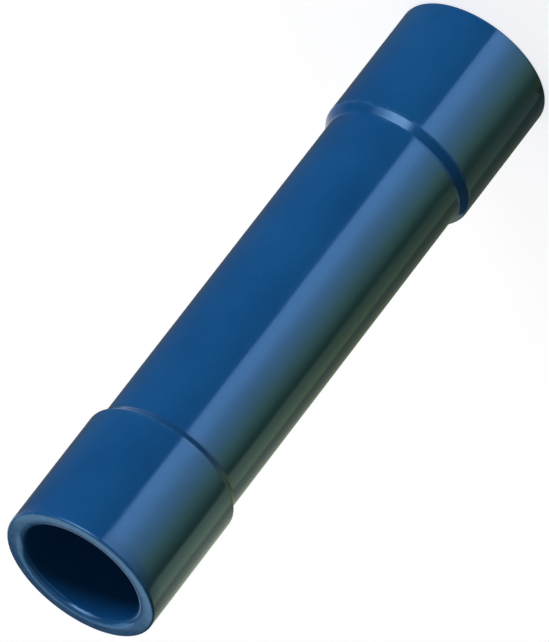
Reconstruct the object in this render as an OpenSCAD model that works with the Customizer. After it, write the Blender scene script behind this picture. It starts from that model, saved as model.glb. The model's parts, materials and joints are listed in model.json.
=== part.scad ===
// Pre-insulated butt splice connector. A tinned copper barrel, with a wire stop rolled
// into its middle, sits in a plastic sleeve. The sleeve grips the barrel, and both of its
// ends are flared to take the insulation of the two wires. The connector stands on one
// mouth, with its axis along Z.

/* [Crimp barrel] */
// Length of the copper barrel
barrel_len = 15; // [10:0.5:20]
// Outside diameter of the barrel
barrel_od = 3.9; // [3.2:0.1:4.4]
// Bore of the barrel, which takes the bare conductor
wire_bore = 2.3; // [1.6:0.1:3]
// Lead-in chamfer at each end of the bore
bore_chamfer = 0.25; // [0.05:0.05:0.5]
// Broken edge around the outside of each end
edge_break = 0.12; // [0.02:0.02:0.3]

/* [Wire stop] */
// Radius across the groove that is rolled round the barrel's middle
stop_radius = 0.6; // [0.4:0.05:1]
// Depth of that groove, and height of the bead that it raises inside
stop_depth = 0.5; // [0.2:0.05:0.6]

/* [Insulating sleeve] */
// Overall length of the sleeve
sleeve_len = 25; // [18:0.5:40]
// Inside diameter of the two flared mouths
mouth_bore = 4.5; // [4.2:0.1:6]
// Wall thickness of the flared mouths
mouth_wall = 0.67; // [0.5:0.01:1.2]
// Wall thickness over the barrel
grip_wall = 0.71; // [0.5:0.01:1.2]
// Radial gap between the barrel and the sleeve
grip_gap = 0.01; // [0.005:0.005:0.05]
// Length along the axis of the sloping shoulder behind each mouth
shoulder_len = 0.3; // [0.15:0.05:1]
// Rounding of the shoulder's crest
crest_round = 0.18; // [0.05:0.01:0.4]
// Rounding of the shoulder's foot
foot_round = 0.25; // [0.05:0.01:0.5]
// Rounding of each mouth's outer lip
outer_lip_round = 0.1; // [0.05:0.01:0.3]
// Rounding of each mouth's inner lip
inner_lip_round = 0.25; // [0.05:0.01:0.3]

/* [Hidden] */
$fn = 96;

// Steps in each rounded corner, and the largest share of an edge that a rounding may take
corner_steps = 8;
corner_share = 0.48;

sleeve_blue = [0.07, 0.28, 0.52];
tin_silver = [0.78, 0.78, 0.76];

// Levels along the axis
middle_z = sleeve_len / 2;
barrel_bottom_z = middle_z - barrel_len / 2;
barrel_top_z = middle_z + barrel_len / 2;

// Radii of the barrel and of the ring that its groove follows
barrel_r = barrel_od / 2;
bore_r = wire_bore / 2;
barrel_wall = barrel_r - bore_r;
stop_ring_r = barrel_r + stop_radius - stop_depth;

// Radii of the sleeve
grip_r = barrel_r + grip_gap;
waist_r = grip_r + grip_wall;
mouth_r = mouth_bore / 2;
flare_r = mouth_r + mouth_wall;

function unit(v) = v / norm(v);
function turned(v, angle) = [
    v.x * cos(angle) - v.y * sin(angle),
    v.x * sin(angle) + v.y * cos(angle)
];

// Points of one corner of an outline, rounded by an arc that is tangent to both edges
function rounded_corner(before, corner, after, radius) =
    let (
        back = unit(before - corner),
        ahead = unit(after - corner),
        half_angle = acos(back * ahead) / 2,
        room = corner_share * min(norm(before - corner), norm(after - corner)),
        setback = min(radius / tan(half_angle), room),
        arc_r = setback * tan(half_angle),
        centre = corner + unit(back + ahead) * arc_r / sin(half_angle),
        start = corner + back * setback - centre,
        sweep = (180 - 2 * half_angle) * sign(cross(back, ahead)) * -1
    )
    [for (i = [0 : corner_steps]) centre + turned(start, sweep * i / corner_steps)];

// Closed outline through corners of the form [radius, height, rounding]
function rounded_outline(corners) =
    let (n = len(corners))
    [
        for (i = [0 : n - 1])
            let (
                spot = [corners[i].x, corners[i].y],
                before = corners[(i + n - 1) % n],
                after = corners[(i + 1) % n]
            )
            each corners[i].z == 0
                ? [spot]
                : rounded_corner([before.x, before.y], spot, [after.x, after.y], corners[i].z)
    ];

// Corners of the sleeve's upper half, from the waist outside to the grip inside
upper_corners = [
    [waist_r, barrel_top_z - shoulder_len, foot_round],
    [flare_r, barrel_top_z, crest_round],
    [flare_r, sleeve_len, outer_lip_round],
    [mouth_r, sleeve_len, inner_lip_round],
    [mouth_r, barrel_top_z + shoulder_len, crest_round],
    [grip_r, barrel_top_z, 0]
];

// The same corners turned end for end, from the grip inside to the waist outside
lower_corners = [
    for (i = [len(upper_corners) - 1 : -1 : 0])
        [upper_corners[i].x, sleeve_len - upper_corners[i].y, upper_corners[i].z]
];

// Plastic sleeve, one tube with both mouths flared
module insulating_sleeve() {
    color(sleeve_blue)
        rotate_extrude()
            polygon(rounded_outline(concat(upper_corners, lower_corners)));
}

// Section of the barrel's plain wall, with its end edges broken outside and chamfered inside
module wall_section() {
    polygon([
        [bore_r + bore_chamfer, barrel_bottom_z],
        [barrel_r - edge_break, barrel_bottom_z],
        [barrel_r, barrel_bottom_z + edge_break],
        [barrel_r, barrel_top_z - edge_break],
        [barrel_r - edge_break, barrel_top_z],
        [bore_r + bore_chamfer, barrel_top_z],
        [bore_r, barrel_top_z - bore_chamfer],
        [bore_r, barrel_bottom_z + bore_chamfer]
    ]);
}

// Round section of the groove, grown all round by a wall
module groove_section(wall) {
    translate([stop_ring_r, middle_z])
        circle(r = stop_radius + wall);
}

// Section of the bead that the groove raises inside, running into the wall behind it
module bead_section() {
    intersection() {
        groove_section(barrel_wall);
        translate([0, barrel_bottom_z])
            square([bore_r + barrel_wall / 2, barrel_len]);
    }
}

// Tinned copper barrel. The groove and its bead keep the wall's thickness at the middle,
// and each conductor stops against the bead.
module crimp_barrel() {
    color(tin_silver)
        rotate_extrude()
            difference() {
                union() {
                    wall_section();
                    bead_section();
                }
                groove_section(0);
            }
}

insulating_sleeve();
crimp_barrel();
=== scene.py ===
import bpy
import bmesh
import json
from math import atan2, cos, pi, radians, sin, tan
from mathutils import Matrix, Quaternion, Vector


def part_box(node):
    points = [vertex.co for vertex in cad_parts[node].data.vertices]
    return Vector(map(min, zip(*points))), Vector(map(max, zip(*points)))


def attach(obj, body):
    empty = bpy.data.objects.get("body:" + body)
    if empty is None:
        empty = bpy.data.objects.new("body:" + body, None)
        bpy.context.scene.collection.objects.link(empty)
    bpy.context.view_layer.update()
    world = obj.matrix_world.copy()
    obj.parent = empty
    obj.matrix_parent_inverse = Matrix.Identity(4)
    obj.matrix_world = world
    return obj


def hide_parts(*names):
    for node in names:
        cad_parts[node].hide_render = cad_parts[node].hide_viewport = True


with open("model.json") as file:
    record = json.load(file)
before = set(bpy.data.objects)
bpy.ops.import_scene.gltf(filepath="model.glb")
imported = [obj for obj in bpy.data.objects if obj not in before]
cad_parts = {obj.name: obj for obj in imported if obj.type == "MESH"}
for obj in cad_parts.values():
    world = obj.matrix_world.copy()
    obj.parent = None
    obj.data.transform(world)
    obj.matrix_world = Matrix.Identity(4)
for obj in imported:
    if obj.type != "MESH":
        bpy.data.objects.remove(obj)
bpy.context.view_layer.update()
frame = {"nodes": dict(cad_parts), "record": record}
mm = 0.001
mergeGap = 0.00001 * mm     # vertices closer than this become one
mounts = {m["name"]: m for m in frame["record"]["mounts"]}
sleeveLow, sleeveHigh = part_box("insulating_sleeve")
barrelLow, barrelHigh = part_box("crimp_barrel")
middle = (sleeveLow + sleeveHigh) / 2
print("frame loaded:", ", ".join(sorted(frame["nodes"])))


# a direction from the connector, azimuth 0 towards the camera and 90 towards +X
def towards(azimuth, elevation):
    a, e = radians(azimuth), radians(elevation)
    return Vector((sin(a) * cos(e), -cos(a) * cos(e), sin(e)))


# camera

shot = {
    "image": (549, 642),            # the photograph's frame, px
    "tilt": 28.85,                  # of the axis towards the camera, from the mouth's ellipse
    "axisPx": (-0.61056, 0.79197),  # where the near mouth points in the picture, x right and y down
    "centrePx": (280.0, 315.4),     # the connector's middle in the picture
    "pxPerMm": 29.5,
    "focalPx": 10000,
    "sensor": 36.0,
    "clip": (0.1, 10),              # nearest and farthest seen, in camera distances
}


def makeCamera(shot):
    width, height = shot["image"]
    data = bpy.data.cameras.new("photoCamera")
    data.sensor_width = shot["sensor"]
    data.lens = shot["sensor"] * shot["focalPx"] / max(width, height)
    camera = bpy.data.objects.new("photoCamera", data)
    bpy.context.scene.collection.objects.link(camera)
    back = towards(0, shot["tilt"])
    distance = shot["focalPx"] / shot["pxPerMm"] * mm
    roll = atan2(shot["axisPx"][0], -shot["axisPx"][1])
    turn = (-back).to_track_quat("-Z", "Y") @ Quaternion((0, 0, 1), roll)
    offX = (shot["centrePx"][0] - width / 2) / shot["pxPerMm"] * mm
    offY = (height / 2 - shot["centrePx"][1]) / shot["pxPerMm"] * mm
    camera.rotation_mode = "QUATERNION"
    camera.rotation_quaternion = turn
    camera.location = middle + back * distance - turn @ Vector((offX, offY, 0))
    data.clip_start, data.clip_end = (distance * share for share in shot["clip"])
    bpy.context.scene.camera = camera


makeCamera(shot)
print("camera set")


# node helpers

def newMaterial(name):
    material = bpy.data.materials.new(name)
    material.use_nodes = True
    nodes = material.node_tree.nodes
    nodes.clear()
    return material, nodes, material.node_tree.links


def addNode(nodes, kind, **settings):
    node = nodes.new("ShaderNode" + kind)
    for key, value in settings.items():
        setattr(node, key, value)
    return node


def setInputs(node, values):
    for key, value in values.items():
        node.inputs[key].default_value = value


# noise on Object coordinates, with the size of its grain along X, Y and Z
def addNoise(nodes, links, coords, size, detail, rough=0.5):
    mapping = addNode(nodes, "Mapping")
    noise = addNode(nodes, "TexNoise")
    setInputs(mapping, {"Scale": [1 / s for s in size]})
    setInputs(noise, {"Scale": 1.0, "Detail": detail, "Roughness": rough})
    links.new(coords.outputs["Object"], mapping.inputs["Vector"])
    links.new(mapping.outputs["Vector"], noise.inputs["Vector"])
    return noise.outputs["Fac"]


def mapRange(nodes, links, source, low, high, toLow, toHigh):
    node = addNode(nodes, "MapRange")
    setInputs(node, {"From Min": low, "From Max": high, "To Min": toLow, "To Max": toHigh})
    links.new(source, node.inputs["Value"])
    return node.outputs["Result"]


def mixColours(nodes, links, factor, first, second):
    node = addNode(nodes, "Mix", data_type="RGBA")
    links.new(factor, node.inputs["Factor"])
    for socket, colour in zip(node.inputs[6:8], (first, second)):   # 6 and 7 are its colours
        if isinstance(colour, bpy.types.NodeSocket):
            links.new(colour, socket)
        else:
            socket.default_value = (*colour, 1)
    return node.outputs[2]


def addBump(nodes, links, height, distance, normal=None):
    node = addNode(nodes, "Bump")
    setInputs(node, {"Distance": distance})
    links.new(height, node.inputs["Height"])
    if normal is not None:
        links.new(normal, node.inputs["Normal"])
    return node.outputs["Normal"]


def addMath(nodes, links, operation, first, second=None):
    node = addNode(nodes, "Math", operation=operation)
    for socket, value in zip(node.inputs, (first, second)):
        if isinstance(value, bpy.types.NodeSocket):
            links.new(value, socket)
        elif value is not None:
            socket.default_value = value
    return node.outputs["Value"]


# distance of a surface point from the axis, and from the connector's middle along it
def axisDistances(nodes, links, coords):
    spot = addNode(nodes, "SeparateXYZ")
    links.new(coords.outputs["Object"], spot.inputs["Vector"])
    squares = [addMath(nodes, links, "MULTIPLY", spot.outputs[a], spot.outputs[a]) for a in "XY"]
    radius = addMath(nodes, links, "SQRT", addMath(nodes, links, "ADD", *squares))
    height = addMath(nodes, links, "SUBTRACT", spot.outputs["Z"], middle.z)
    return radius, addMath(nodes, links, "ABSOLUTE", height)


def closeShader(nodes, links, shader):
    out = addNode(nodes, "OutputMaterial")
    links.new(shader, out.inputs["Surface"])


# modelling helpers

# a closed section in the XZ plane, its corners given as (radius, height, rounding)
def roundedSection(bm, corners, segments):
    verts = [bm.verts.new((r, 0, z)) for r, z, _ in corners]
    bm.faces.new(verts)
    count = len(verts)
    jobs = []
    for i, (_, _, rounding) in enumerate(corners):
        back = (verts[i - 1].co - verts[i].co).normalized()
        ahead = (verts[(i + 1) % count].co - verts[i].co).normalized()
        if rounding > 0:
            jobs.append((verts[i], rounding / tan(back.angle(ahead) / 2)))
    for vert, setback in jobs:
        bmesh.ops.bevel(bm, geom=[vert], offset=setback, offset_type="OFFSET", affect="VERTICES",
                        segments=segments, profile=0.5, material=-1)


# cuts every long edge of a section, so that the shading stays even along the wall
def evenEdges(bm, longest):
    for edge in [e for e in bm.edges if e.calc_length() > longest]:
        cuts = int(edge.calc_length() / longest)
        bmesh.ops.subdivide_edges(bm, edges=[edge], cuts=cuts)


def spinSection(bm, steps):
    bmesh.ops.delete(bm, geom=bm.faces[:], context="FACES_ONLY")
    bmesh.ops.spin(bm, geom=bm.verts[:] + bm.edges[:], cent=(0, 0, 0), axis=(0, 0, 1), dvec=(0, 0, 0),
                   angle=2 * pi, steps=steps, use_merge=True, use_duplicate=False)
    bmesh.ops.remove_doubles(bm, verts=bm.verts[:], dist=mergeGap)
    bmesh.ops.recalc_face_normals(bm, faces=bm.faces[:])


def makePiece(name, bm, material):
    mesh = bpy.data.meshes.new(name)
    for face in bm.faces:
        face.smooth = True
    bm.to_mesh(mesh)
    bm.free()
    mesh.materials.append(material)
    piece = bpy.data.objects.new(name, mesh)
    bpy.context.scene.collection.objects.link(piece)
    return piece


# blue plastic sleeve

sleeve = {
    "waistR": 2.67 * mm,
    "shoulder": 0.3 * mm,       # length of the slope behind each mouth
    "outerLip": 0.1 * mm,
    "innerLip": 0.25 * mm,
    "crest": 0.18 * mm,
    "foot": 0.25 * mm,
    "fitGap": 0.01 * mm,        # to the barrel
    "longest": 0.6 * mm,        # edge along the wall
    "segments": 7,
    "steps": 160,
    "deepBlue": (0.004, 0.057, 0.2),
    "paleBlue": (0.0065, 0.073, 0.238),
    # pale blue for the specks, and for the painted light on the cut end faces
    "speckAndLitEndBlue": (0.022, 0.112, 0.298),
    "scuffBlue": (0.05, 0.16, 0.34),
    "sheen": (0.34, 0.62, 1.0),
    "ior": 1.5,
    "roughness": (0.11, 0.17),  # on the glossiest and the dullest lines of the grain
    # noise sizes along X, Y and Z, with the heights of the two that are felt
    "cloudSize": (2.2 * mm, 2.2 * mm, 3.5 * mm),
    "speckSize": (0.09 * mm, 0.09 * mm, 0.16 * mm),
    "grainSize": (0.16 * mm, 0.16 * mm, 6 * mm),
    "grainHeight": 0.001 * mm,
    "peelSize": (0.5 * mm, 0.5 * mm, 0.8 * mm),
    "peelHeight": 0.002 * mm,
    "scuffSize": (0.22 * mm, 0.22 * mm, 0.12 * mm),
    # how far specks turn to the pale blue, how far the cut ends take it as painted light, and how far
    # scuffs turn to scuffBlue
    "speckPale": 0.25,
    "endLitPaint": 0.1,
    "scuffPale": 0.35,
    "scuffDull": 0.12,          # roughness that a full scuff would add
    "worn": 0.14 * mm,          # reach of the scuffed edges
    "wornCore": 0.3,            # share of that reach with full wear, at the crests
    "endCore": 0.02 * mm,       # depth of full wear at the cut ends
    "crestRise": 0.15 * mm,     # height over the waist where a crest's wear begins
}


def sleeveMaterial(look):
    material, nodes, links = newMaterial("bluePlastic")
    coords = addNode(nodes, "TexCoord")
    cloud = addNoise(nodes, links, coords, look["cloudSize"], 3)
    speck = addNoise(nodes, links, coords, look["speckSize"], 2)
    grain = addNoise(nodes, links, coords, look["grainSize"], 3, 0.6)
    peel = addNoise(nodes, links, coords, look["peelSize"], 1)
    scuff = addNoise(nodes, links, coords, look["scuffSize"], 4, 0.65)

    clouded = mapRange(nodes, links, cloud, 0.3, 0.7, 0, 1)
    blue = mixColours(nodes, links, clouded, look["deepBlue"], look["paleBlue"])
    specked = mapRange(nodes, links, speck, 0.62, 0.75, 0, look["speckPale"])
    blue = mixColours(nodes, links, specked, blue, look["speckAndLitEndBlue"])

    # painted light makes the cut end faces a little paler, and they are scuffed like the crests
    radius, height = axisDistances(nodes, links, coords)
    half = middle.z - sleeveLow.z
    cutEnd = mapRange(nodes, links, height, half - look["worn"], half - look["endCore"], 0, 1)
    litEndPaint = addMath(nodes, links, "MULTIPLY", cutEnd, look["endLitPaint"])
    blue = mixColours(nodes, links, litEndPaint, blue, look["speckAndLitEndBlue"])
    toCrest = addMath(nodes, links, "SUBTRACT", height, barrelHigh.z - middle.z)
    toCrest = addMath(nodes, links, "ABSOLUTE", toCrest)
    crest = mapRange(nodes, links, toCrest, look["wornCore"] * look["worn"], look["worn"], 1, 0)
    outside = mapRange(nodes, links, radius, look["waistR"] + look["crestRise"], sleeveHigh.x, 0, 1)
    edges = addMath(nodes, links, "MAXIMUM", addMath(nodes, links, "MULTIPLY", crest, outside), cutEnd)
    rubbed = mapRange(nodes, links, scuff, 0.4, 0.75, 0, look["scuffPale"])
    wear = addMath(nodes, links, "MULTIPLY", edges, rubbed)
    blue = mixColours(nodes, links, wear, blue, look["scuffBlue"])

    shader = addNode(nodes, "BsdfPrincipled")
    setInputs(shader, {"IOR": look["ior"], "Specular Tint": (*look["sheen"], 1)})
    links.new(blue, shader.inputs["Base Color"])
    gloss = mapRange(nodes, links, grain, 0.3, 0.7, *look["roughness"])
    dull = addMath(nodes, links, "MULTIPLY", wear, look["scuffDull"])
    links.new(addMath(nodes, links, "ADD", gloss, dull), shader.inputs["Roughness"])
    wave = addBump(nodes, links, peel, look["peelHeight"])
    links.new(addBump(nodes, links, grain, look["grainHeight"], wave), shader.inputs["Normal"])
    closeShader(nodes, links, shader.outputs["BSDF"])
    return material


def makeSleeve(look):
    flareR = sleeveHigh.x
    top = sleeveHigh.z
    mouthR = mounts["upper_insulation_mouth"]["dims"]["r_mm"] * mm
    gripR = barrelHigh.x + look["fitGap"]
    upper = [
        (look["waistR"], barrelHigh.z - look["shoulder"], look["foot"]),
        (flareR, barrelHigh.z, look["crest"]),
        (flareR, top, look["outerLip"]),
        (mouthR, top, look["innerLip"]),
        (mouthR, barrelHigh.z + look["shoulder"], look["crest"]),
        (gripR, barrelHigh.z, 0),
    ]
    lower = [(r, top - z, rounding) for r, z, rounding in reversed(upper)]
    bm = bmesh.new()
    roundedSection(bm, upper + lower, look["segments"])
    evenEdges(bm, look["longest"])
    spinSection(bm, look["steps"])
    piece = makePiece("sleeve", bm, sleeveMaterial(look))
    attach(piece, "root")
    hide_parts("insulating_sleeve")


makeSleeve(sleeve)
print("sleeve made")


# tinned copper barrel

barrel = {
    "chamfer": 0.25 * mm,
    "edgeBreak": 0.12 * mm,
    "stopDepth": 0.5 * mm,
    "stopR": 0.6 * mm,
    "longest": 0.5 * mm,
    "segments": 16,
    "steps": 128,
    "sharpAngle": 35,
    "tin": (0.66, 0.65, 0.62),
    "dullTin": (0.47, 0.46, 0.43),
    "roughness": (0.24, 0.4),
    "lineSize": (0.05 * mm, 0.05 * mm, 3 * mm),
    "lineHeight": 0.002 * mm,
    "stainSize": (0.9 * mm, 0.9 * mm, 1.4 * mm),
}


def barrelMaterial(look):
    material, nodes, links = newMaterial("tinPlate")
    coords = addNode(nodes, "TexCoord")
    drawn = addNoise(nodes, links, coords, look["lineSize"], 4, 0.6)
    stain = addNoise(nodes, links, coords, look["stainSize"], 4, 0.6)
    stained = mapRange(nodes, links, stain, 0.35, 0.7, 0, 1)
    tint = mixColours(nodes, links, stained, look["tin"], look["dullTin"])
    shader = addNode(nodes, "BsdfPrincipled")
    setInputs(shader, {"Metallic": 1.0})
    links.new(tint, shader.inputs["Base Color"])
    links.new(mapRange(nodes, links, drawn, 0.3, 0.7, *look["roughness"]), shader.inputs["Roughness"])
    links.new(addBump(nodes, links, drawn, look["lineHeight"]), shader.inputs["Normal"])
    closeShader(nodes, links, shader.outputs["BSDF"])
    return material


# one arc of the wire stop's section, from the wall at radius r below the middle to the same above it
def sweepArc(bm, ringR, arcR, r, segments):
    half = (arcR ** 2 - (ringR - r) ** 2) ** 0.5
    start = bm.verts.new((r, 0, middle.z - half))
    swept = bmesh.ops.spin(bm, geom=[start], cent=(ringR, 0, middle.z), axis=(0, 1, 0), dvec=(0, 0, 0),
                           angle=2 * atan2(half, ringR - r), steps=segments)
    last = [v for v in swept["geom_last"] if isinstance(v, bmesh.types.BMVert)][0]
    return start, last


def joinLine(bm, first, corners, last):
    chain = [first] + [bm.verts.new((r, 0, z)) for r, z in corners] + [last]
    for a, b in zip(chain, chain[1:]):
        bm.edges.new((a, b))


def makeBarrel(look):
    outR = barrelHigh.x
    boreR = mounts["upper_wire_bore"]["dims"]["r_mm"] * mm
    wall = outR - boreR
    ringR = outR + look["stopR"] - look["stopDepth"]
    low, high = barrelLow.z, barrelHigh.z
    cut, edge = look["chamfer"], look["edgeBreak"]
    bm = bmesh.new()
    lowEnd = [(boreR, low + cut), (boreR + cut, low), (outR - edge, low), (outR, low + edge)]
    highEnd = [(r, low + high - z) for r, z in lowEnd]
    grooveLow, grooveHigh = sweepArc(bm, ringR, look["stopR"], outR, look["segments"])
    beadLow, beadHigh = sweepArc(bm, ringR, look["stopR"] + wall, boreR, look["segments"])
    joinLine(bm, beadLow, lowEnd, grooveLow)
    joinLine(bm, beadHigh, highEnd, grooveHigh)
    evenEdges(bm, look["longest"])
    spinSection(bm, look["steps"])
    piece = makePiece("barrel", bm, barrelMaterial(look))
    piece.data.set_sharp_from_angle(angle=radians(look["sharpAngle"]))
    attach(piece, "root")
    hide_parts("crimp_barrel")


makeBarrel(barrel)
print("barrel made")


# lamps, as azimuth and elevation they shine from, level on a surface that faces them, and spread

lamps = {
    "keyLamp": {"azimuth": 48, "elevation": 2, "level": 1.04, "spread": 24, "seenBy": ("diffuse",)},
    "backLamp": {"azimuth": 178, "elevation": 12, "level": 0.65, "spread": 60, "seenBy": ("diffuse",)},
    "topLamp": {"azimuth": 0, "elevation": 90, "level": 0.25, "spread": 80,
                "seenBy": ("diffuse", "glossy")},
}
roomColour = (0.11, 0.1, 0.03)


def makeLamp(name, lamp):
    data = bpy.data.lights.new(name, "SUN")
    data.energy = lamp["level"] * pi    # so that a white surface shows white at level 1
    data.angle = radians(lamp["spread"])
    obj = bpy.data.objects.new(name, data)
    bpy.context.scene.collection.objects.link(obj)
    obj.rotation_mode = "QUATERNION"
    obj.rotation_quaternion = (-towards(lamp["azimuth"], lamp["elevation"])).to_track_quat("-Z", "Y")
    obj.visible_diffuse = "diffuse" in lamp["seenBy"]
    obj.visible_glossy = "glossy" in lamp["seenBy"]


def makeRoom(colour):
    world = bpy.data.worlds.new("studio")
    bpy.context.scene.world = world
    world.use_nodes = True
    setInputs(world.node_tree.nodes["Background"], {"Color": (*colour, 1), "Strength": 1.0})


for lampName, lamp in lamps.items():
    makeLamp(lampName, lamp)
makeRoom(roomColour)
print("lamps set")


# stage: a pale floor, a white backdrop, and the cards and papers that the glossy sleeve mirrors

stage = {
    "size": 0.6,                        # radius of the floor and of the backdrop
    "floorSegments": 96,
    "floorColour": (0.5, 0.5, 0.5),
    "floorGlow": (0.71, 0.715, 0.75),   # what the floor shows by itself, so that its shadow stays light
    "backdropSegments": (64, 32),
    "backdropColour": (1, 1, 1),
    "cardR": 0.5,
    "cardSteps": 72,
    "paperFoot": -55,                   # azimuth of the papers' corner, on the lower mouth's rim
    # small card behind the mouth and above it, which lights the near lip
    "lipCard": {"behind": 12 * mm, "low": 6.3 * mm, "high": 16 * mm, "halfWidth": 15 * mm,
                "colour": (1.1, 1.7, 2.0)},
}

# cards bent round the connector: elevations of both edges, and their light from azimuth to azimuth
roundLight = [
    (187, (1.1, 1.1, 1.1)), (165, (1, 1, 1)), (130, (0.4, 0.4, 0.4)), (90, (0.15, 0.15, 0.15)),
    (5, (0.12, 0.12, 0.12)), (3, (3.4, 3.4, 3.4)), (-14, (3.2, 3.2, 3.2)), (-34, (1.8, 1.8, 1.8)),
    (-60, (0.8, 0.8, 0.8)), (-90, (0.2, 0.2, 0.2)), (-115, (0.06, 0.06, 0.06)),
    (-173, (0.03, 0.03, 0.03)),
]
cards = {
    "sideCard": {"low": -38, "high": -22.5, "light": [
        (3, (3.8, 4.4, 5.1)), (-12, (3.8, 4.4, 5.0)), (-32, (2.4, 2.7, 2.3)), (-64, (1.3, 1.6, 0.45)),
        (-84, (0.28, 0.38, 0.07)), (-104, (0.28, 0.38, 0.07)),
    ]},
    "upperCard": {"low": -22.5, "high": 12, "light": roundLight},
    "lowerCard": {"low": -68, "high": -38, "light": roundLight},
    "glintCard": {"low": 22, "high": 58, "light": [
        (84, (0, 0, 0)), (66, (3, 3, 3)), (46, (9.2, 9, 8.5)), (26, (9.2, 9, 8.5)), (14, (0, 0, 0)),
    ]},
}

# papers that fan out from the foot of the dark flank: azimuths of both edges, and their light outwards
papers = {
    "palePaper": {"from": -92, "to": -122, "light": [
        (0.5 * mm, (0.28, 0.35, 0.24)), (5 * mm, (0.33, 0.43, 0.26)), (12 * mm, (0.44, 0.57, 0.29)),
        (23 * mm, (0.62, 0.8, 0.36)), (43 * mm, (1.15, 1.45, 0.9)), (75 * mm, (0.15, 0.15, 0.15)),
    ]},
    "greyPaper": {"from": -122, "to": -178, "light": [
        (0.5 * mm, (0.1, 0.12, 0.09)), (5 * mm, (0.12, 0.15, 0.1)), (23 * mm, (0.26, 0.31, 0.19)),
        (43 * mm, (0.56, 0.66, 0.5)), (75 * mm, (0.15, 0.15, 0.15)),
    ]},
}


def stageObject(name, bm, material, seenBy):
    piece = makePiece(name, bm, material)
    for ray in ("camera", "diffuse", "glossy", "transmission", "shadow"):
        setattr(piece, "visible_" + ray, ray in seenBy)


def glowMaterial(name, colour):
    material, nodes, links = newMaterial(name)
    shader = addNode(nodes, "Emission")
    setInputs(shader, {"Color": (*colour, 1), "Strength": 1.0})
    closeShader(nodes, links, shader.outputs["Emission"])
    return material


def floorMaterial(look):
    material, nodes, links = newMaterial("paleFloor")
    matt = addNode(nodes, "BsdfDiffuse")
    glow = addNode(nodes, "Emission")
    both = addNode(nodes, "AddShader")
    setInputs(matt, {"Color": (*look["floorColour"], 1)})
    setInputs(glow, {"Color": (*look["floorGlow"], 1), "Strength": 1.0})
    links.new(matt.outputs["BSDF"], both.inputs[0])
    links.new(glow.outputs["Emission"], both.inputs[1])
    closeShader(nodes, links, both.outputs["Shader"])
    return material


# light that changes along a gradient, as stops of (position, colour)
def gradientGlow(name, kind, stops, turn=0, scale=1, centre=Vector()):
    material, nodes, links = newMaterial(name)
    coords = addNode(nodes, "TexCoord")
    mapping = addNode(nodes, "Mapping")
    setInputs(mapping, {"Location": -centre * scale, "Rotation": (0, 0, turn), "Scale": [scale] * 3})
    gradient = addNode(nodes, "TexGradient", gradient_type=kind)
    ramp = addNode(nodes, "ValToRGB")
    for _ in stops[2:]:                 # a new ramp has two stops
        ramp.color_ramp.elements.new(0.5)
    for element, (position, colour) in zip(ramp.color_ramp.elements, sorted(stops)):
        element.position = position
        element.color = (*colour, 1)
    shader = addNode(nodes, "Emission")
    setInputs(shader, {"Strength": 1.0})
    links.new(coords.outputs["Object"], mapping.inputs["Vector"])
    links.new(mapping.outputs["Vector"], gradient.inputs["Vector"])
    links.new(gradient.outputs["Fac"], ramp.inputs["Fac"])
    links.new(ramp.outputs["Color"], shader.inputs["Color"])
    closeShader(nodes, links, shader.outputs["Emission"])
    return material


# an upright card, with its gradient's seam opposite its middle
def makeCard(name, card, look):
    first, last = card["light"][0][0], card["light"][-1][0]
    turn = 90 - (first + last) / 2
    stops = [((azimuth + turn) / 360 + 0.25, colour) for azimuth, colour in card["light"]]
    start = towards(first, 0) * look["cardR"]
    heights = [look["cardR"] * tan(radians(card[edge])) for edge in ("low", "high")]
    bm = bmesh.new()
    bm.edges.new([bm.verts.new((start.x, start.y, z)) for z in heights])
    bmesh.ops.spin(bm, geom=bm.verts[:] + bm.edges[:], cent=(0, 0, 0), axis=(0, 0, 1), dvec=(0, 0, 0),
                   angle=radians(last - first), steps=look["cardSteps"])
    cloth = gradientGlow(name + "Cloth", "RADIAL", stops, turn=radians(turn))
    stageObject(name, bm, cloth, ("glossy",))


def makePaper(name, paper, look):
    first, last = paper["from"], paper["to"]
    near, reach = paper["light"][0][0], paper["light"][-1][0]
    foot = towards(look["paperFoot"], 0) * sleeveHigh.x
    bm = bmesh.new()
    bm.edges.new([bm.verts.new(foot + towards(first, 0) * r) for r in (near, reach)])
    bmesh.ops.spin(bm, geom=bm.verts[:] + bm.edges[:], cent=foot, axis=(0, 0, 1), dvec=(0, 0, 0),
                   angle=radians(last - first), steps=look["cardSteps"])
    stops = [(1 - r / reach, colour) for r, colour in paper["light"]]
    glow = gradientGlow(name + "Glow", "SPHERICAL", stops, scale=1 / reach, centre=foot)
    stageObject(name, bm, glow, ("glossy",))


def makeLipCard(card):
    foot = sleeveHigh.z + card["low"]
    sides = (-card["halfWidth"], card["halfWidth"])
    bm = bmesh.new()
    edge = bm.edges.new([bm.verts.new((x, card["behind"], foot)) for x in sides])
    grown = bmesh.ops.extrude_edge_only(bm, edges=[edge])["geom"]
    rise = (0, 0, card["high"] - card["low"])
    bmesh.ops.translate(bm, verts=[v for v in grown if isinstance(v, bmesh.types.BMVert)], vec=rise)
    stageObject("lipCard", bm, glowMaterial("lipCardPaper", card["colour"]), ("glossy",))


def makeStage(look):
    bm = bmesh.new()
    bmesh.ops.create_circle(bm, cap_ends=True, segments=look["floorSegments"], radius=look["size"])
    stageObject("floor", bm, floorMaterial(look), ("camera",))
    bm = bmesh.new()
    around, upwards = look["backdropSegments"]
    bmesh.ops.create_uvsphere(bm, u_segments=around, v_segments=upwards, radius=look["size"])
    white = glowMaterial("whiteBackdrop", look["backdropColour"])
    stageObject("backdrop", bm, white, ("camera", "transmission"))
    for name, card in cards.items():
        makeCard(name, card, look)
    for name, paper in papers.items():
        makePaper(name, paper, look)
    makeLipCard(look["lipCard"])


makeStage(stage)
print("stage set")

bpy.context.scene.view_settings.view_transform = "Standard"
